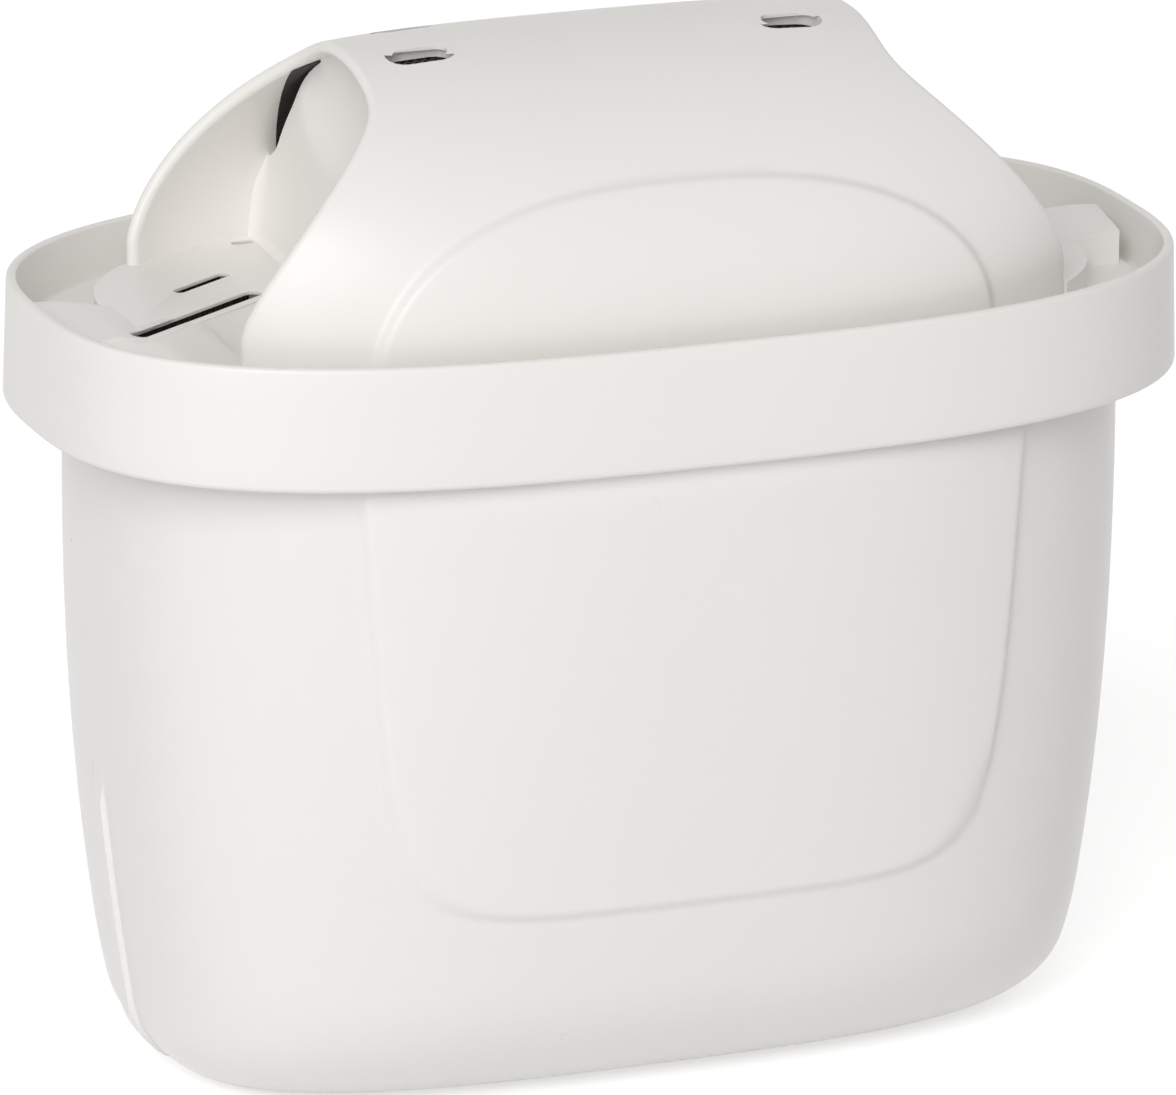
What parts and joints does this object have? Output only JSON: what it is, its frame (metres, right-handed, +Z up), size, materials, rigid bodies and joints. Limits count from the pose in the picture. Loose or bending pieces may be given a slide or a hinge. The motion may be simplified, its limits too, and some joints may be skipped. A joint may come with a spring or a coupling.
{
  "type": "water pitcher filter cartridge",
  "caption": "Oval filter cartridge: a tapered cup of grains under a wide collar and a domed, slotted cover with a finger recess at each end.",
  "frame": {"origin": "centre of the cup's flat bottom", "axes": "+Z up through the dome's ridge, +X along the oval's long axis, -Y is the front broad side"},
  "size_m": [0.105, 0.061, 0.0938],
  "materials": {
    "milky_plastic": "slightly cloudy satin moulding",
    "cream_plastic": "satin moulding",
    "sieve_plastic": "matt fine mesh",
    "filter_grains": "loose dark grains"
  },
  "bodies": {
    "root": {"cup": "milky_plastic", "cover": "cream_plastic", "inlet_screen_left": "sieve_plastic", "inlet_screen_right": "sieve_plastic", "vent_screen_left": "sieve_plastic", "vent_screen_right": "sieve_plastic", "ridge_screen": "sieve_plastic", "outlet_screen": "sieve_plastic", "filter_bed": "filter_grains"}
  },
  "joints": []
}
